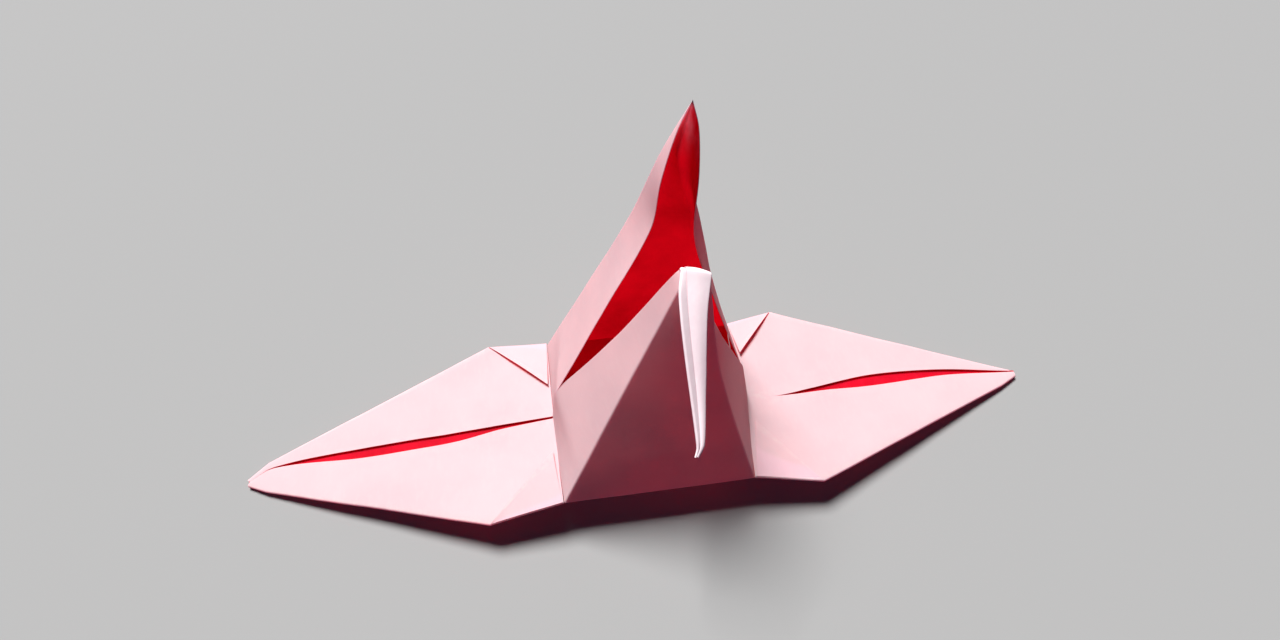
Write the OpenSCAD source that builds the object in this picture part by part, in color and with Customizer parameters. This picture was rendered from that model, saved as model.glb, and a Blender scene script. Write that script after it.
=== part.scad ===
// Origami crane with an open body, folded from one square sheet.
// Rests on its belly and wing tips: X runs along the wings, the head faces -Y, Z is up.

/* [Sheet] */
// Thickness of the sheet
paper_t = 0.25; // [0.15:0.05:0.5]
// Gap between two raw edges that meet
raw_gap = 0.6; // [0.4:0.1:2]

/* [Body] */
// Width of the body across its side walls
body_w = 46; // [36:1:56]
// Depth of the body from front edge to back edge
body_d = 46; // [36:1:50]
// Height of the body's lower edges above the table
body_z = 9; // [6:0.5:14]
// Side of the flat square under the belly
belly_w = 18; // [10:1:26]
// Height of the notch where neck and tail part
notch_z = 21; // [16:0.5:28]

/* [Wings] */
// Span from wing tip to wing tip
wing_span = 200; // [160:1:260]
// Wing width at its widest corners
wing_w = 51; // [50:1:64]
// Distance of the widest corners from the middle
wing_corner_x = 39; // [34:1:50]
// Width of the blunt wing tip
wing_tip_w = 4; // [2:0.5:8]
// Widest opening of the slit along the wing
slit_w = 3.4; // [1:0.2:8]
// Rise of the folded strips at the slit
strip_lift = 1.2; // [0.6:0.1:3]
// Distance of the pleat's end from the slit
pleat_y = 9.5; // [6:0.5:14]
// Rise of the pleat's loose edge over its strip
pleat_lift = 0.6; // [0.4:0.1:1.5]

/* [Tail] */
// Height of the tail tip
tail_h = 88; // [70:1:110]
// Sideways lean of the tail tip
tail_x = 11.5; // [-15:0.5:15]
// Distance of the tail tip behind the middle
tail_y = 17; // [12:0.5:26]
// Width of the tail tip
tail_tip_w = 2; // [1:0.5:5]
// How far the tail's side folds bow in
tail_bow = 1.2; // [0:0.2:4]
// How far the left raw edge of the tail curls in
tail_curl_left = 2.5; // [0:0.2:6]
// How far the right raw edge of the tail curls in
tail_curl_right = 4.6; // [0:0.2:7]
// How far the tail's raw edges bow towards the neck
tail_sag = 2.6; // [0:0.2:4]

/* [Neck] */
// Height of the fold on top of the head
head_h = 61.6; // [48:0.2:76]
// Sideways lean of the head
head_x = 9.2; // [-14:0.2:14]
// Distance of the head in front of the middle
head_y = 3; // [2:0.5:10]
// Width of the head's fold
head_w = 7.4; // [5:0.2:12]
// Drop of the head's fold from left to right
head_drop = 3.8; // [0:0.2:6]
// How far the neck's right fold bows in
neck_bow_right = 2.4; // [0:0.2:4]
// How far the neck's left raw edge curls in
neck_curl_left = 3.2; // [0:0.2:5]
// How far the neck's right raw edge curls in
neck_curl_right = 1.6; // [0:0.2:4]

/* [Beak] */
// Reach of the beak in front of the head's fold
beak_reach = 29; // [18:0.5:36]
// Fall of the beak from the head's fold to its tip
beak_fall = 21.7; // [8:0.5:32]
// Sideways swing of the beak tip
beak_swing = -4.1; // [-8:0.5:8]
// Width of the beak tip
beak_tip_w = 1.2; // [0.8:0.2:3]
// Rise of the beak's folded strips at their raw edges
beak_lift = 0.9; // [0.6:0.1:2]

/* [Hidden] */
fold_steps = 8;
floor_z = paper_t / 2;
half_span = wing_span / 2;
half_w = body_w / 2;
half_d = body_d / 2;
half_gap = raw_gap / 2;

// Level of the wing's lower layer at a distance x from the middle.
function wing_z(x) = floor_z + (body_z - floor_z) * (half_span - x) / (half_span - half_w);
function mid(a, b) = (a + b) / 2;
function along(a, b, t) = a + (b - a) * t;
// A fold that runs from a to b and leaves the straight line by `bow` halfway.
function curve(a, b, bow, t) = along(a, b, t) + bow * 4 * t * (1 - t);

// Lower corners of the body and the points where the raw edges meet, by side and end.
function corner(side, end) = [side * half_w, end * half_d, body_z];
function wall_foot(side, end) = [side * half_w, end * half_gap, body_z + strip_lift];
function notch(side, end) = [side * half_w, end * half_gap, notch_z];

// Folds and raw edges of the tail, from the body (t = 0) to the tip (t = 1).
function tail_tip(side) = [tail_x + side * tail_tip_w / 2, tail_y, tail_h - floor_z];
function tail_rim(side) = tail_tip(0) + [side * half_gap, -strip_lift, -strip_lift];
function tail_fold(side, t) = curve(corner(side, 1), tail_tip(side), [-side * tail_bow, 0, 0], t);
function tail_curl(side) = side < 0 ? tail_curl_left : -tail_curl_right;
function tail_edge(side, t) = curve(notch(side, 1), tail_rim(side), [tail_curl(side), -tail_sag, 0], t);

// Folds and raw edges of the neck, from the body (t = 0) to the fold on the head (t = 1).
function head(side) = [head_x + side * head_w / 2, -head_y, head_h - side * head_drop / 2];
function head_rim(side) = head(0) + [side * half_gap, strip_lift, beak_lift];
function neck_bow(side) = side < 0 ? 0 : -neck_bow_right;
function neck_fold(side, t) = curve(corner(side, -1), head(side), [neck_bow(side), 0, 0], t);
function neck_curl(side) = side < 0 ? neck_curl_left : -neck_curl_right;
function neck_edge(side, t) = curve(notch(side, -1), head_rim(side), [neck_curl(side), 0, 0], t);

// Beak: the tip of the neck, folded forward over the head.
function beak_tip(side) = head(0) + [beak_swing + side * beak_tip_w / 2, -beak_reach, -beak_fall];
function beak_rim(side) = beak_tip(0) + [side * half_gap / 2, 0, beak_lift / 2];

// One flat panel of the sheet between its corner points.
module panel(points) {
    hull()
        for (p = points)
            translate(p)
                cube(paper_t, center = true);
}

// Belly: a flat square with four sides that rise to the body's lower edges.
module belly() {
    b = belly_w / 2;
    panel([for (x = [-b, b], y = [-b, b]) [x, y, floor_z]]);
    for (end = [-1, 1])
        panel([[-b, end * b, floor_z], [b, end * b, floor_z], corner(1, end), corner(-1, end)]);
    for (side = [-1, 1])
        panel([[side * b, -b, floor_z], [side * b, b, floor_z], corner(side, 1), corner(side, -1)]);
}

// Wing: a lower layer, two strips folded in over it and a pleat at each inner corner.
module wing(side) {
    function tip(end) = [side * half_span, end * wing_tip_w / 2, floor_z];
    function widest(end) = [side * wing_corner_x, end * wing_w / 2, wing_z(wing_corner_x)];
    function slit(end) = let (x = mid(half_span, half_w))
        [side * x, end * (raw_gap + slit_w) / 2, wing_z(x) + strip_lift];
    function tip_rim(end) = [side * half_span, end * half_gap, floor_z + paper_t];
    panel([for (end = [-1, 1]) each [tip(end), widest(end), corner(side, end)]]);
    for (end = [-1, 1]) {
        panel([tip(end), widest(end), slit(end), tip_rim(end)]);
        panel([widest(end), corner(side, end), wall_foot(side, end), slit(end)]);
        panel([widest(end), corner(side, end), pleat_end(side, end)]);
    }
}

// Loose end of the pleat, on the foot of the side wall.
function pleat_end(side, end) =
    along(wall_foot(side, end), corner(side, end), (pleat_y - half_gap) / (half_d - half_gap))
    + [0, 0, pleat_lift];

// Lower part of the side walls, from the wing up to the notch.
module side_walls() {
    for (side = [-1, 1], end = [-1, 1])
        panel([corner(side, end), wall_foot(side, end), notch(side, end)]);
}

// Tail: a back panel and two side strips that close towards the tip.
module tail() {
    for (i = [0 : fold_steps - 1]) {
        ts = [i / fold_steps, (i + 1) / fold_steps];
        panel([for (t = ts, side = [-1, 1]) tail_fold(side, t)]);
        for (side = [-1, 1])
            panel([for (t = ts) each [tail_fold(side, t), tail_edge(side, t)]]);
    }
}

// Neck: a front panel and two side strips that close towards the head.
module neck() {
    for (i = [0 : fold_steps - 1]) {
        ts = [i / fold_steps, (i + 1) / fold_steps];
        panel([for (t = ts, side = [-1, 1]) neck_fold(side, t)]);
        for (side = [-1, 1])
            panel([for (t = ts) each [neck_fold(side, t), neck_edge(side, t)]]);
    }
}

// Beak: a lower layer and two strips whose raw edges leave a groove.
module beak() {
    panel([head(-1), head(1), beak_tip(1), beak_tip(-1)]);
    for (side = [-1, 1])
        panel([head(side), head_rim(side), beak_rim(side), beak_tip(side)]);
}

module paper_crane() {
    color("pink") {
        belly();
        wing(-1);
        wing(1);
        side_walls();
        tail();
        neck();
        beak();
    }
}

paper_crane();
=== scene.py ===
import math

import bpy
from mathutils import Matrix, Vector, noise


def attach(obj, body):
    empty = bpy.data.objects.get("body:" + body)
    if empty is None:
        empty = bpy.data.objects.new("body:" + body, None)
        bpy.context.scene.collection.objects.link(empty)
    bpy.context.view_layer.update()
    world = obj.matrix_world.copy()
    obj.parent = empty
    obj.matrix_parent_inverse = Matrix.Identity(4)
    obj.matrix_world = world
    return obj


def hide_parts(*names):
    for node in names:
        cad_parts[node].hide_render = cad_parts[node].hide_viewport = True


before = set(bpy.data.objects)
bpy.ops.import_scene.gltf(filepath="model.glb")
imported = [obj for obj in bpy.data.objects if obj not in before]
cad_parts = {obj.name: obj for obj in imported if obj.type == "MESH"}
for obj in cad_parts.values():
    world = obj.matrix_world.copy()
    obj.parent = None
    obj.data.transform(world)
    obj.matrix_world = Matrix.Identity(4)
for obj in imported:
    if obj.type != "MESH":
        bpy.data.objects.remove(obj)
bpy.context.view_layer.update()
mm = 0.001  # sizes and places below are in millimetres
print("frame loaded, nodes:", list(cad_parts))


def vec(x, y, z=0.0):
    return Vector((x, y, z))


def rising(value, start, end):
    # 0 up to start, 1 from end on, straight between them
    return max(0.0, min(1.0, (value - start) / (end - start)))


def splineAt(points, knots, u):
    # smooth curve through the points, read at u on the scale of the knots
    i = max(0, min(len(points) - 2, sum(1 for k in knots[1:-1] if k <= u)))
    span = knots[i + 1] - knots[i]
    s = (u - knots[i]) / span

    def slope(j):
        lo, hi = max(0, j - 1), min(len(points) - 1, j + 1)
        return (points[hi] - points[lo]) / (knots[hi] - knots[lo])

    ease = s * s * (3 - 2 * s)
    leave, arrive = s * (s - 1) * (s - 1), s * s * (s - 1)
    return points[i].lerp(points[i + 1], ease) + (slope(i) * leave + slope(i + 1) * arrive) * span


def splinePoint(points, t):
    # t runs from 0 to 1 along the chords
    knots = [0.0]
    for a, b in zip(points, points[1:]):
        knots.append(knots[-1] + (b - a).length)
    return splineAt(points, knots, t * knots[-1])


def splineAtX(points, x):
    # the same curve, read at one place along the span
    knots = [abs(p.x - points[0].x) for p in points]
    return splineAt(points, knots, min(knots[-1], abs(x - points[0].x)))


paper = dict(
    thickness=0.16,
    foldRadius=0.35,
    arcShare=0.4,  # a fold's arc takes at most this part of the strip beside it
    sleeveShare=0.2,  # and at most this part of a flat sleeve's width
    bend=0.16,  # how far hands have bent the sheet out of true
    bendSize=17.0,
    bendSeed=5,
    fineBend=0.35,  # smaller bends on top of the slow ones
    fineBendRate=2.3,
    bendHeight=4.0,  # below this height the bends fade, so that the sheet lies flat on the table
    edgeWear=0.5,  # raw edges are a little rubbed
    edgeColumns=2,
)
noise.seed_set(paper["bendSeed"])  # the same bends each run
outside, inside, rim, backed = 0, 1, 2, 3  # backed: pink with more paper close behind it
# the wear list holds rubbing and also the painted sheen at the tail's tip
sheetVerts, sheetFaces, sheetSlots, sheetWearAndSheen = [], [], [], []
columns = dict(strip=14, fold=6)  # points across each strip or panel, and across each fold


def eased(k, count):
    # closer columns beside the folds keep the creases crisp
    return 0.5 - 0.5 * math.cos(math.pi * k / count)


def roundedSection(points, radii):
    # open polyline with a small arc at each inner corner, always the same number of points
    perSide, perFold = columns["strip"], columns["fold"]
    out, start = [], points[0]
    for a, b, c, radius in zip(points, points[1:], points[2:], radii):
        p = b + (a - b).normalized() * min(radius, (a - b).length * paper["arcShare"])
        q = b + (c - b).normalized() * min(radius, (c - b).length * paper["arcShare"])
        out += [start.lerp(p, eased(k, perSide)) for k in range(perSide)]
        for k in range(perFold):
            s = k / perFold
            out.append(p.lerp(b, s).lerp(b.lerp(q, s), s))
        start = q
    return out + [start.lerp(points[-1], eased(k, perSide)) for k in range(perSide + 1)]


def edgeRub(column):
    # wear beside a raw edge, by columns away from it
    return paper["edgeWear"] * max(0.0, 1 - column / paper["edgeColumns"])


def handBent(p):
    # slow uneven bends, the same for all layers at one place so that seams stay closed
    place = p / paper["bendSize"]
    fine = noise.noise_vector(place * paper["fineBendRate"]) * paper["fineBend"]
    swing = noise.noise_vector(place) + fine
    return p + swing * paper["bend"] * rising(p.z, 0.0, paper["bendHeight"])


def patchNormals(grid):
    rows, cols = len(grid), len(grid[0])

    def normal(i, j):
        along = grid[min(i + 1, rows - 1)][j] - grid[max(i - 1, 0)][j]
        across = grid[i][min(j + 1, cols - 1)] - grid[i][max(j - 1, 0)]
        return along.cross(across)

    out = []
    for i in range(rows):
        for j in range(cols):
            n = normal(i, j)
            if n.length < 1e-9:  # rows meet in a point: take the neighbour further in
                n = normal(min(max(i, 1), rows - 2), min(max(j, 1), cols - 2))
            out.append(n.normalized())
    return out


def addPatch(grid, wear=None, flip=False, innerSheen=None, backedFrom=None):
    # a grid of points becomes a thin closed slab: outer face, inner face and cut edges
    grid = [[handBent(p) for p in line] for line in grid]
    rows, cols = len(grid), len(grid[0])
    top = len(sheetVerts)
    low = top + rows * cols
    normals = patchNormals(grid)
    half = paper["thickness"] / 2 * (-1 if flip else 1)
    # the inner face takes no rubbing, only the painted sheen at the tail's tip
    for offset, rubbed in ((half, wear), (-half, innerSheen)):
        for i in range(rows):
            for j in range(cols):
                sheetVerts.append((grid[i][j] + normals[i * cols + j] * offset) * mm)
                sheetWearAndSheen.append(rubbed[i][j] if rubbed else 0.0)

    def quad(slot, *corners):
        sheetFaces.append(corners[::-1] if flip else corners)
        sheetSlots.append(slot)

    for i in range(rows - 1):
        outer = outside if backedFrom is None or i < backedFrom else backed
        for j in range(cols - 1):
            a, b = i * cols + j, (i + 1) * cols + j
            quad(outer, top + a, top + b, top + b + 1, top + a + 1)
            quad(inside, low + a, low + a + 1, low + b + 1, low + b)
    loop = list(range(cols))
    loop += [i * cols + cols - 1 for i in range(1, rows)]
    loop += [(rows - 1) * cols + j for j in range(cols - 2, -1, -1)]
    loop += [i * cols for i in range(rows - 2, 0, -1)]
    for a, b in zip(loop, loop[1:] + loop[:1]):
        quad(rim, top + a, top + b, low + b, low + a)


body = dict(
    frontLeft=vec(-22.5, -22.9, 8.9),
    frontRight=vec(22.3, -23.2, 8.9),
    rearRight=vec(25.0, 21.8, 8.9),
    rearLeft=vec(-22.7, 22.6, 8.9),
    footLeft=vec(-23.0, 0.0, 10.0),  # where the wing's slit meets the wall
    footRight=vec(25.4, -0.4, 10.0),
    notchLeft=vec(-21.7, 0.0, 20.7),  # raw edges of neck and tail part here
    notchRight=vec(23.4, 0.0, 21.3),
    lap=vec(0.12, 0.3),  # the neck's wall laps over the tail's
)
neck = dict(
    end=-1,  # front of the body
    leftFold=[body["frontLeft"], vec(6.6, -3.2, 59.5)],
    rightFold=[body["frontRight"], vec(14.4, -11.3, 38.5), vec(12.6, -3.2, 59.0)],
    leftEdge=[body["notchLeft"], vec(-6.0, -0.8, 42.0), vec(5.2, -0.6, 59.2), vec(6.9, -0.2, 60.6)],
    rightEdge=[body["notchRight"], vec(17.2, -3.0, 37.5), vec(13.6, -4.5, 47.5), vec(8.2, -0.4, 60.3)],
    wallShare=0.16,  # part of the raw edge that runs up the wall to the notch
    foldRadius=0.4,
    softFold=0.0,  # how much rounder the right fold gets further up
    bow=vec(0, -0.5, 0.1),  # how far the panel stands out
    ridge=0.5,  # where across the panel it bows most
    trough=0.0,  # how much deeper it bows towards the tip
    tipSheen=0.0,
    rows=40,
)
tailTip = vec(11.3, 17.2, 88.3)
tail = dict(
    end=1,  # rear of the body
    leftFold=[body["rearLeft"], vec(-1.3, 20.0, 55.4), vec(5.4, 18.3, 75.3), tailTip],
    rightFold=[
        body["rearRight"], vec(18.3, 20.3, 36.4), vec(15.0, 19.4, 56.0), vec(11.4, 18.4, 72.0), tailTip],
    leftEdge=[
        body["notchLeft"], vec(-8.5, 4.0, 45.0), vec(2.0, 8.9, 63.0),
        vec(4.4, 10.8, 75.0), vec(8.0, 14.4, 83.8), tailTip],
    rightEdge=[
        body["notchRight"], vec(15.9, 5.4, 43.2), vec(11.6, 9.0, 58.5),
        vec(12.4, 12.4, 73.0), vec(12.4, 15.4, 83.0), tailTip],
    wallShare=0.12,
    foldRadius=0.6,
    softFold=1.7,
    bow=vec(0, 0.9, 0.1),
    ridge=0.6,
    trough=1.2,
    # painted sheen on the tail's tip, outside and inside
    tipSheen=2.2,
    rows=60,
)
# what neck and tail have in common, mostly as shares of the way up
flap = dict(
    softBy=0.5,  # the soft fold is at its roundest from here on
    bowBy=0.2,  # the panel bows fully from here on
    bowWidth=9.0,  # a panel narrower than this bows less
    troughFrom=0.3,
    troughBy=0.6,
    sheenFrom=0.8,  # painted sheen at the tip starts here
    foldColumns=3,  # rubbed columns on each side of a fold
)


def rawEdge(part, edgeName, footName, shift, t):
    # straight up the wall, then along the strip's free edge
    foot, edge, wall = body[footName], part[edgeName], part["wallShare"]
    if t <= wall:
        return shift + foot.lerp(edge[0], t / wall)
    return splinePoint([edge[0] + shift] + edge[1:], (t - wall) / (1 - wall))


def bowPanel(part, section, width, t):
    # the middle panel bows outwards
    crown = rising(width, 0.0, flap["bowWidth"]) * rising(t, 0.0, flap["bowBy"])
    crown *= 1 + part["trough"] * rising(t, flap["troughFrom"], flap["troughBy"])
    perSide, ridge = columns["strip"], part["ridge"]
    for j in range(perSide):
        s = eased(j, perSide)
        fromRidge = (s - ridge) / (ridge if s < ridge else 1 - ridge)
        section[perSide + columns["fold"] + j] += part["bow"] * crown * math.cos(math.pi / 2 * fromRidge)


def flapWearAndSheen(count, paintedTipSheen):
    # rubbed along both folds and a little along the raw edges, with painted sheen at the tip
    perSide, perFold = columns["strip"], columns["fold"]
    folds = (perSide + perFold / 2, 2 * perSide + 1.5 * perFold)
    line = []
    for j in range(count):
        fromFold = min(abs(j - fold) for fold in folds)
        foldRub = max(0.0, 1 - fromFold / flap["foldColumns"])
        line.append(foldRub + edgeRub(min(j, count - 1 - j)) + paintedTipSheen)
    return line


def standingFlap(part):
    # a panel between two side strips, lofted from the body upwards
    rows, wear, innerSheen = [], [], []
    lap = body["lap"] * part["end"]
    for i in range(part["rows"] + 1):
        t = i / part["rows"]
        leftEdge = rawEdge(part, "leftEdge", "footLeft", vec(lap.x, -lap.y), t)
        rightEdge = rawEdge(part, "rightEdge", "footRight", vec(-lap.x, -lap.y), t)
        leftFold, rightFold = splinePoint(part["leftFold"], t), splinePoint(part["rightFold"], t)
        softRadius = part["foldRadius"] + part["softFold"] * rising(t, 0.0, flap["softBy"])
        section = roundedSection(
            [leftEdge, leftFold, rightFold, rightEdge], (part["foldRadius"], softRadius))
        bowPanel(part, section, (rightFold - leftFold).length, t)
        # painted sheen towards the tip, on the outer face and alone on the inner face
        paintedTipSheen = part["tipSheen"] * rising(t, flap["sheenFrom"], 1.0) ** 2
        rows.append(section)
        wear.append(flapWearAndSheen(len(section), paintedTipSheen))
        innerSheen.append([paintedTipSheen] * len(section))
    return rows, wear, innerSheen


# the tail's inner face carries only the painted sheen at its tip
tailRows, tailWear, tailInnerSheen = standingFlap(tail)
addPatch(tailRows, tailWear, innerSheen=tailInnerSheen)
print("tail folded")


def sleeveRadius(radius, width):
    return min(radius, width * paper["sleeveShare"])


def sleeveSection(frontFold, rearFold, slitFront, slitRear, radius, up, bulges):
    # raw edge, strip, fold, lower layer, fold, strip, raw edge
    perStrip, perFold = columns["strip"], columns["fold"]
    across = (rearFold - frontFold).normalized()
    r = sleeveRadius(radius, (rearFold - frontFold).length)

    def side(slit, seat, outwards, bulge):
        # one strip from its raw edge to its fold, then round the fold
        points = []
        for k in range(perStrip):
            s = k / perStrip
            points.append(slit.lerp(seat + up * 2 * r, s) + up * bulge * math.sin(math.pi * s))
        for k in range(perFold):
            a = math.pi * k / perFold
            points.append(seat + up * r + (up * math.cos(a) + outwards * math.sin(a)) * r)
        return points

    frontSeat, rearSeat = frontFold + across * r, rearFold - across * r
    front = side(slitFront, frontSeat, -across, bulges[0])
    lower = [frontSeat.lerp(rearSeat, k / perStrip) for k in range(perStrip + 1)]
    rear = side(slitRear, rearSeat, across, bulges[1])
    sideWear = [edgeRub(k) for k in range(perStrip)] + [1.0] * perFold
    return front + lower + rear[::-1], sideWear + [0.0] * len(lower) + sideWear[::-1]


# outlines run from the blunt tip over the widest corner to the body
leftWing = dict(
    front=[vec(-98.6, -3.2, 0.5), vec(-94.0, -5.6, 0.9), vec(-40.1, -25.0, 6.6), vec(-22.7, -23.1, 8.8)],
    rear=[vec(-98.9, -1.4, 0.5), vec(-94.2, 2.4, 0.9), vec(-38.4, 25.3, 6.6), vec(-22.9, 22.6, 8.8)],
    slitFront=[
        vec(-98.5, -2.2), vec(-93.0, 0.5), vec(-70.0, -1.2),
        vec(-47.5, -1.5), vec(-36.5, -0.5), vec(-23.0, -0.3)],
    slitRear=[
        vec(-98.5, -2.2), vec(-93.0, 0.8), vec(-70.0, 1.5),
        vec(-47.5, 1.1), vec(-36.5, 0.8), vec(-23.0, 0.3)],
)
rightWing = dict(
    front=[vec(99.9, -0.7, 0.5), vec(95.0, -3.2, 0.9), vec(39.0, -25.7, 6.6), vec(22.4, -23.3, 8.8)],
    rear=[vec(100.0, 0.9, 0.5), vec(95.0, 2.9, 0.9), vec(38.3, 25.6, 6.6), vec(25.2, 21.8, 8.8)],
    slitFront=[
        vec(99.9, 0.6), vec(81.0, 1.2), vec(60.0, -0.3),
        vec(46.0, -0.7), vec(32.0, -1.5), vec(25.2, -0.5)],
    slitRear=[
        vec(99.9, 0.9), vec(80.0, 3.1), vec(60.0, 3.1),
        vec(42.0, 0.1), vec(32.0, -1.5), vec(25.2, -0.5)],
)
# what both wings have in common
wings = dict(
    rows=(10, 34, 14),  # between one corner of the outline and the next
    bulges=(0.05, 0.05),  # front and rear strip
)


def wingSection(front, rear, wing):
    middle = front.lerp(rear, 0.5)
    slits = [splineAtX(wing[key], middle.x) for key in ("slitFront", "slitRear")]
    for slit in slits:
        slit.z = middle.z + 2 * paper["foldRadius"]
    return sleeveSection(front, rear, *slits, paper["foldRadius"], vec(0, 0, 1), wings["bulges"])


def foldWing(wing, flip):
    rows, wear = [], []
    for i, count in enumerate(wings["rows"]):
        isLast = i == len(wings["rows"]) - 1  # the last stretch also has the row at the body
        for k in range(count + isLast):
            front = wing["front"][i].lerp(wing["front"][i + 1], k / count)
            rear = wing["rear"][i].lerp(wing["rear"][i + 1], k / count)
            section, line = wingSection(front, rear, wing)
            rows.append(section)
            wear.append(line)
    addPatch(rows, wear, flip)


foldWing(leftWing, flip=True)
foldWing(rightWing, flip=False)
print("wings folded")

# its lines run from the head to the tip
beak = dict(
    left=[
        vec(6.3, -2.2, 62.2), vec(5.2, -6.5, 59.9), vec(5.0, -18.0, 51.0),
        vec(5.3, -30.5, 41.1), vec(4.7, -32.0, 40.0)],
    right=[
        vec(12.6, -2.6, 60.0), vec(10.7, -9.0, 56.6), vec(8.3, -22.0, 46.9),
        vec(6.9, -30.0, 41.0), vec(5.5, -32.0, 39.8)],
    groove=[
        vec(7.5, -2.4, 62.2), vec(7.0, -7.5, 58.7), vec(6.6, -20.0, 48.8),
        vec(6.1, -29.6, 41.4), vec(5.1, -31.9, 40.0)],
    reach=(0.35, -0.14),  # left and right strips overlap at the groove
    grooveRise=(0.15, 0.42),  # left strip dips under the right one
    bulges=(0.05, 0.28),
    foldRadius=0.3,
    fullWidth=5.0,  # narrower than this, the groove fades out
    headRadius=0.15,  # inside of the fold at the head
    lookAhead=0.02,  # step along the groove that gives its direction
    wear=0.4,  # less rubbed than the wings
    headRows=6,
    rows=44,
)


def beakPlace(t):
    # both folds, the groove and the upward direction
    left, right, groove = (splinePoint(beak[key], t) for key in ("left", "right", "groove"))
    before, after = max(0, t - beak["lookAhead"]), min(1, t + beak["lookAhead"])
    ahead = splinePoint(beak["groove"], after) - splinePoint(beak["groove"], before)
    return left, right, groove, ahead.cross(right - left).normalized()


def beakSection(left, right, groove, up):
    across, width = (right - left).normalized(), (right - left).length
    share = rising(width, 0.0, beak["fullWidth"])
    top = sleeveRadius(beak["foldRadius"], width) * 2 * (1 - share)
    slits = []
    for reach, rise in zip(beak["reach"], beak["grooveRise"]):
        slits.append(groove + across * reach * share + up * (top + rise * share))
    bulges = [bulge * share for bulge in beak["bulges"]]
    return sleeveSection(left, right, *slits, beak["foldRadius"], up, bulges)


def foldNeck():
    # the beak is the neck's own tip, folded forward at the head
    rows, wear, innerSheen = standingFlap(neck)
    ridge = len(rows) + beak["headRows"] // 2
    for i in range(-beak["headRows"], beak["rows"] + 1):
        left, right, groove, up = beakPlace(max(0, i) / beak["rows"])
        if i < 0:  # over the head, from the neck's back to the top of the beak
            turned = vec(0, 1, 0).slerp(up, 1 + i / beak["headRows"])
            left, right = (p + (turned - up) * beak["headRadius"] for p in (left, right))
            groove = groove + (turned - up) * (beak["headRadius"] + beak["foldRadius"])
            up = turned
        section, line = beakSection(left, right, groove, up)
        rows.append(section)
        wear.append([beak["wear"] * rub for rub in line])
        innerSheen.append([0.0] * len(section))
    addPatch(rows, wear, flip=True, innerSheen=innerSheen, backedFrom=ridge)


foldNeck()
print("neck and beak folded")

belly = dict(
    flatHalf=9.0,  # half the flat square that rests on the table
    bottom=0.1,  # middle of the sheet there
    slope=0.45,  # straight share of the rise, the rest gets rounder towards the walls
    cells=28,
)


def foldBelly():
    # a shallow basin between the body's lower edges, with a small flat square at the bottom
    cells, bottom = belly["cells"], belly["bottom"]
    flat = belly["flatHalf"] / body["frontRight"].x
    rows = []
    for i in range(cells + 1):
        line = []
        for j in range(cells + 1):
            s, t = j / cells, i / cells
            front = body["frontLeft"].lerp(body["frontRight"], s)
            p = front.lerp(body["rearLeft"].lerp(body["rearRight"], s), t)
            fromMiddle = 2 * max(abs(s - 0.5), abs(t - 0.5))
            run = rising(fromMiddle, flat, 1.0)
            rise = belly["slope"] * run + (1 - belly["slope"]) * (1 - math.sqrt(1 - run * run))
            p.z = bottom + (p.z - bottom) * rise
            line.append(p)
        rows.append(line)
    addPatch(rows)


foldBelly()

# small triangles over the wings' inner corners: outer tip, body corner, end along the wall, lift
pleats = dict(
    places=[
        (vec(-39.6, -24.8, 7.4), vec(-22.9, -23.0, 9.5), vec(-24.0, -9.6, 10.2), 0.45),
        (vec(37.9, 25.3, 7.4), vec(25.4, 21.8, 9.5), vec(26.4, 11.3, 10.4), 0.75),
        (vec(-38.0, 25.0, 7.4), vec(-22.9, 22.5, 9.5), vec(-23.6, 9.2, 10.3), 0.75),
        (vec(38.6, -25.4, 7.3), vec(22.9, -23.2, 9.5), vec(26.0, -8.2, 9.4), 0.2),
    ],
    humpFrom=0.12,  # the lifted edge follows this much of a half wave
    humpTo=0.92,
    rub=2.0,  # wear for each millimetre of lift
    rubbedColumns=2,
    cells=10,
)


def foldPleat(tip, root, end, lift):
    cells = pleats["cells"]
    rub = min(1.0, pleats["rub"] * lift)
    rows, wear = [], []
    for i in range(cells + 1):
        s = i / cells
        a, b = tip.lerp(root, s), tip.lerp(end, s)
        wave = pleats["humpFrom"] + (pleats["humpTo"] - pleats["humpFrom"]) * s
        hump = vec(0, 0, lift * math.sin(math.pi * wave))
        rows.append([a.lerp(b, j / cells) + hump * (j / cells) for j in range(cells + 1)])
        wear.append([rub if j > cells - pleats["rubbedColumns"] else 0.0 for j in range(cells + 1)])
    addPatch(rows, wear, flip=tip.x * tip.y < 0)


for place in pleats["places"]:
    foldPleat(*place)
print("belly and pleats folded")

# light and deep make the cloudy tint, fleck is on the fibres, and worn is on rubbed places and is also the
# painted sheen at the tail's tip;
# through is what shows of light from behind, and thin is the share of it
finishes = dict(
    pink=dict(
        light=(0.98, 0.86, 0.89), deep=(0.945, 0.79, 0.83),
        fleck=(1.0, 0.92, 0.93), wornAndSheen=(1.0, 0.91, 0.92),
        through=(0.95, 0.38, 0.59), throughDeep=(0.90, 0.33, 0.53),
        thin=0.55, rough=0.82),
    pinkBacked=dict(
        light=(0.99, 0.83, 0.865), deep=(0.96, 0.765, 0.81),
        fleck=(1.0, 0.92, 0.93), wornAndSheen=(1.0, 0.91, 0.92),
        through=(0.95, 0.5, 0.62), throughDeep=(0.90, 0.45, 0.57),
        thin=0.06, rough=0.82),
    # on the red inside, worn serves only as the painted sheen at the tail's tip
    red=dict(
        light=(0.80, 0.003, 0.034), deep=(0.60, 0.002, 0.019),
        fleck=(0.86, 0.015, 0.055), wornAndSheen=(0.92, 0.34, 0.40),
        through=(0.97, 0.005, 0.024), throughDeep=(0.68, 0.003, 0.015),
        thin=0.56, rough=0.72),
    cut=dict(
        light=(0.93, 0.60, 0.65), deep=(0.84, 0.45, 0.52),
        fleck=(0.97, 0.72, 0.76), wornAndSheen=(0.96, 0.76, 0.79),
        through=(0.90, 0.40, 0.45), throughDeep=(0.84, 0.35, 0.40),
        thin=0.4, rough=0.9),
)
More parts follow.
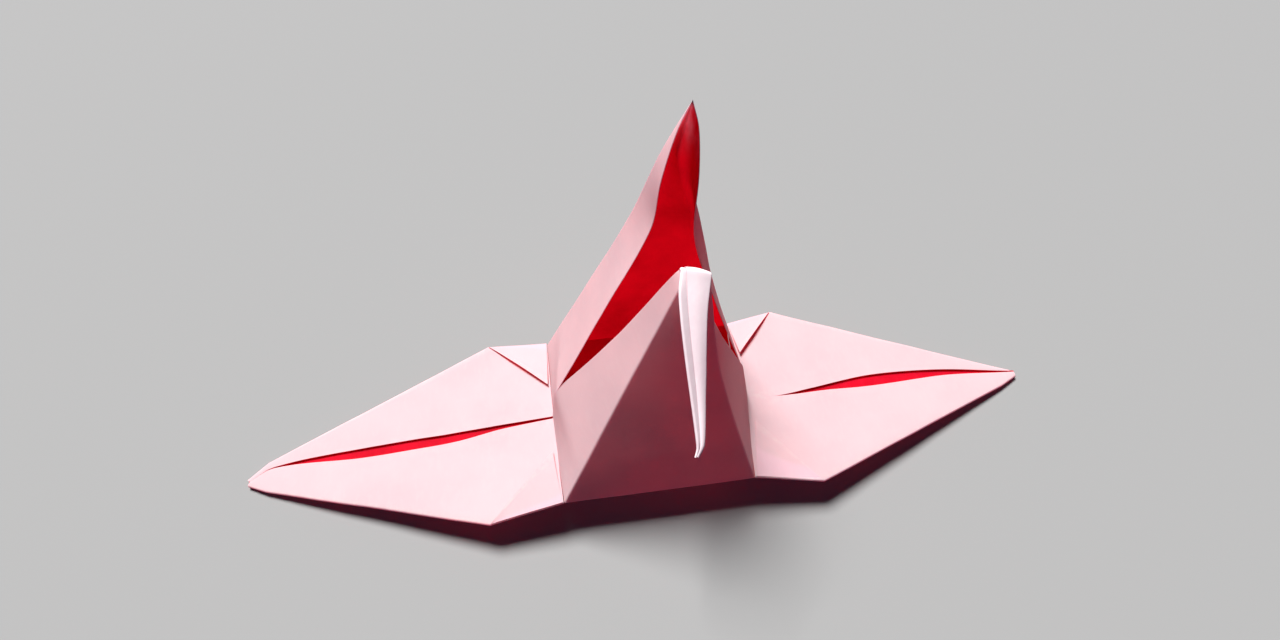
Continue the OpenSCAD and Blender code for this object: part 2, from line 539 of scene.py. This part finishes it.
# scales are counted per metre, and a small stretch draws the grain out along that axis
grain = dict(
    fibres=dict(scale=900.0, detail=4.0, stretch=(1, 0.35, 1)),
    clouds=dict(scale=70.0, detail=5.0, stretch=(1, 1, 1)),
    # this patchy noise, drawn out upwards, breaks up both the rubbing and the painted sheen at the tail's
    # tip
    rubsAndSheen=dict(scale=420.0, detail=3.0, stretch=(1, 1, 0.35)),
    cloudRange=(0.35, 0.72),
    rubAndSheenRange=(0.3, 0.9),
    fleckRange=(0.5, 0.8),
    fleckMost=0.5,
    smoother=0.06,  # roughness swings this far down and up with the fibres
    rougher=0.08,
    gloss=0.12,
    bumpStrength=0.8,
    bumpDepth=0.04,
)


def noiseNode(tree, coords, kind):
    place = tree.nodes.new("ShaderNodeMapping")
    place.inputs["Scale"].default_value = kind["stretch"]
    tex = tree.nodes.new("ShaderNodeTexNoise")
    tex.inputs["Scale"].default_value = kind["scale"]
    tex.inputs["Detail"].default_value = kind["detail"]
    tree.links.new(coords.outputs["Object"], place.inputs["Vector"])
    tree.links.new(place.outputs["Vector"], tex.inputs["Vector"])
    return tex.outputs["Fac"]


def rangeNode(tree, value, fromRange, toRange=(0.0, 1.0)):
    node = tree.nodes.new("ShaderNodeMapRange")
    keys = ("From Min", "From Max", "To Min", "To Max")
    for key, number in zip(keys, (*fromRange, *toRange)):
        node.inputs[key].default_value = number
    tree.links.new(value, node.inputs["Value"])
    return node.outputs["Result"]


def mixNode(tree, factor, a, b):
    node = tree.nodes.new("ShaderNodeMix")
    node.data_type = "RGBA"
    for socket, colour in ((node.inputs[6], a), (node.inputs[7], b)):  # its two colour sockets
        if isinstance(colour, tuple):
            socket.default_value = (*colour, 1)
        else:
            tree.links.new(colour, socket)
    tree.links.new(factor, node.inputs[0])
    return node.outputs[2]


def wearAndSheenNode(tree, coords):
    # patchy wear where the mesh says that the sheet is rubbed, and painted sheen at the tail's tip
    wear = tree.nodes.new("ShaderNodeAttribute")
    wear.attribute_name = "wear"
    rub = tree.nodes.new("ShaderNodeMath")
    rub.operation = "MULTIPLY"
    patches = rangeNode(tree, noiseNode(tree, coords, grain["rubsAndSheen"]), grain["rubAndSheenRange"])
    tree.links.new(wear.outputs["Fac"], rub.inputs[0])
    tree.links.new(patches, rub.inputs[1])
    return rub.outputs[0]


def paperMaterial(name, look):
    mat = bpy.data.materials.new(name)
    mat.use_nodes = True
    tree = mat.node_tree
    nodes, links = tree.nodes, tree.links
    coords = nodes.new("ShaderNodeTexCoord")
    fibres = noiseNode(tree, coords, grain["fibres"])
    clouds = rangeNode(tree, noiseNode(tree, coords, grain["clouds"]), grain["cloudRange"])
    rub = wearAndSheenNode(tree, coords)
    bump = nodes.new("ShaderNodeBump")
    bump.inputs["Strength"].default_value = grain["bumpStrength"]
    bump.inputs["Distance"].default_value = grain["bumpDepth"] * mm
    links.new(fibres, bump.inputs["Height"])

    shader = nodes["Principled BSDF"]
    flecks = rangeNode(tree, fibres, grain["fleckRange"], (0.0, grain["fleckMost"]))
    tint = mixNode(tree, clouds, look["light"], look["deep"])
    tint = mixNode(tree, flecks, tint, look["fleck"])
    # rubbed places and the painted sheen at the tail's tip lighten the colour
    links.new(mixNode(tree, rub, tint, look["wornAndSheen"]), shader.inputs["Base Color"])
    roughRange = (look["rough"] - grain["smoother"], look["rough"] + grain["rougher"])
    links.new(rangeNode(tree, fibres, (0.0, 1.0), roughRange), shader.inputs["Roughness"])
    shader.inputs["Specular IOR Level"].default_value = grain["gloss"]
    links.new(bump.outputs["Normal"], shader.inputs["Normal"])

    glow = nodes.new("ShaderNodeBsdfTranslucent")  # thin paper lets some light through
    shine = mixNode(tree, clouds, look["through"], look["throughDeep"])
    # the same rubbing and painted sheen tint the light that shines through
    links.new(mixNode(tree, rub, shine, look["wornAndSheen"]), glow.inputs["Color"])
    links.new(bump.outputs["Normal"], glow.inputs["Normal"])

    blend = nodes.new("ShaderNodeMixShader")
    blend.inputs["Fac"].default_value = look["thin"]
    links.new(shader.outputs["BSDF"], blend.inputs[1])
    links.new(glow.outputs["BSDF"], blend.inputs[2])
    links.new(blend.outputs["Shader"], nodes["Material Output"].inputs["Surface"])
    return mat


def markCutEdges(mesh):
    # shading stays crisp where two finishes meet
    slotsAtEdge = {}
    for face in mesh.polygons:
        for key in face.edge_keys:
            slotsAtEdge.setdefault(key, set()).add(face.material_index)
    for edge in mesh.edges:
        edge.use_edge_sharp = len(slotsAtEdge[edge.key]) > 1


def buildCrane():
    mesh = bpy.data.meshes.new("foldedPaper")
    mesh.from_pydata(sheetVerts, [], sheetFaces)
    # in the order of the slots outside, inside, rim and backed
    slots = (("pinkPaper", "pink"), ("redPaper", "red"), ("cutEdge", "cut"), ("pinkOverPaper", "pinkBacked"))
    for name, look in slots:
        mesh.materials.append(paperMaterial(name, finishes[look]))
    mesh.polygons.foreach_set("material_index", sheetSlots)
    mesh.polygons.foreach_set("use_smooth", [True] * len(sheetFaces))
    markCutEdges(mesh)
    # the wear attribute holds rubbing and the painted sheen at the tail's tip
    wear = mesh.attributes.new("wear", "FLOAT", "POINT")
    wear.data.foreach_set("value", sheetWearAndSheen)
    mesh.validate()
    mesh.update()
    crane = bpy.data.objects.new("foldedPaper", mesh)
    bpy.context.scene.collection.objects.link(crane)
    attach(crane, "root")
    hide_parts("paper_crane")
    print("crane built, faces:", len(mesh.polygons))


buildCrane()

studio = dict(
    floorSize=400000.0,  # so wide that its edge lies on the horizon
    floorColour=(0.25, 0.25, 0.247),
    floorRough=0.9,
    keyFrom=vec(-0.18, 0.45, 0.875),
    keySpread=24.0,  # degrees, soft shadow edges
    keyPower=7.3,
    skyTop=(0.038, 0.025, 0.047),
    skyRim=(0.52, 0.465, 0.505),
    bounce=(0.17, 0.05, 0.12),  # warm light from below, in place of the floor's own
    rimStart=-0.02,  # sine of the height above the horizon
    rimEnd=0.125,
    bounceShare=0.2,  # part of the way from rimStart to the horizon where the bounce fades out
    lensPixels=850.0,  # focal length in pixels of the picture
    pictureWidth=1280.0,
    sensorWidth=36.0,
    nearest=5.0,
    eye=vec(-18.2, -110.2, 190.6),
    target=vec(3.7, 33.8, 0.0),
)


def layFloor():
    half = studio["floorSize"] / 2 * mm
    corners = [(-half, -half, 0), (half, -half, 0), (half, half, 0), (-half, half, 0)]
    mesh = bpy.data.meshes.new("studioFloor")
    mesh.from_pydata(corners, [], [(0, 1, 2, 3)])
    mat = bpy.data.materials.new("studioFloor")
    mat.use_nodes = True
    shader = mat.node_tree.nodes["Principled BSDF"]
    shader.inputs["Base Color"].default_value = (*studio["floorColour"], 1)
    shader.inputs["Roughness"].default_value = studio["floorRough"]
    mesh.materials.append(mat)
    floor = bpy.data.objects.new("studioFloor", mesh)
    floor.visible_diffuse = False  # no bounce from the floor, so that the paper's shaded sides stay deep
    bpy.context.scene.collection.objects.link(floor)


def addKeyLight():
    light = bpy.data.lights.new("keyLight", "SUN")
    light.energy = studio["keyPower"]
    light.angle = math.radians(studio["keySpread"])
    lamp = bpy.data.objects.new("keyLight", light)
    lamp.rotation_euler = (-studio["keyFrom"]).to_track_quat("-Z", "Y").to_euler()
    bpy.context.scene.collection.objects.link(lamp)


def setWorld():
    # dim overhead, paler at the horizon, and a faint warm light from below
    world = bpy.data.worlds.new("studioSky")
    world.use_nodes = True
    nodes, links = world.node_tree.nodes, world.node_tree.links
    coords = nodes.new("ShaderNodeTexCoord")
    split = nodes.new("ShaderNodeSeparateXYZ")
    links.new(coords.outputs["Generated"], split.inputs[0])
    height = rangeNode(world.node_tree, split.outputs["Z"], (studio["rimStart"], studio["rimEnd"]))
    fade = nodes.new("ShaderNodeValToRGB")
    links.new(height, fade.inputs["Fac"])
    horizon = studio["rimStart"] / (studio["rimStart"] - studio["rimEnd"])
    stops = fade.color_ramp.elements
    for place in (horizon * studio["bounceShare"], horizon):
        stops.new(place).color = (*studio["skyRim"], 1)
    stops[0].color = (*studio["bounce"], 1)
    stops[-1].color = (*studio["skyTop"], 1)
    links.new(fade.outputs["Color"], nodes["Background"].inputs["Color"])
    bpy.context.scene.world = world
    bpy.context.scene.view_settings.view_transform = "Standard"


def setCamera():
    lens = bpy.data.cameras.new("photoCamera")
    lens.sensor_fit = "HORIZONTAL"
    lens.sensor_width = studio["sensorWidth"]
    lens.lens = studio["lensPixels"] / studio["pictureWidth"] * studio["sensorWidth"]
    lens.clip_start = studio["nearest"] * mm
    camera = bpy.data.objects.new("photoCamera", lens)
    camera.location = studio["eye"] * mm
    camera.rotation_euler = (studio["target"] - studio["eye"]).to_track_quat("-Z", "Y").to_euler()
    bpy.context.scene.collection.objects.link(camera)
    bpy.context.scene.camera = camera


layFloor()
addKeyLight()
setWorld()
setCamera()
print("studio ready")
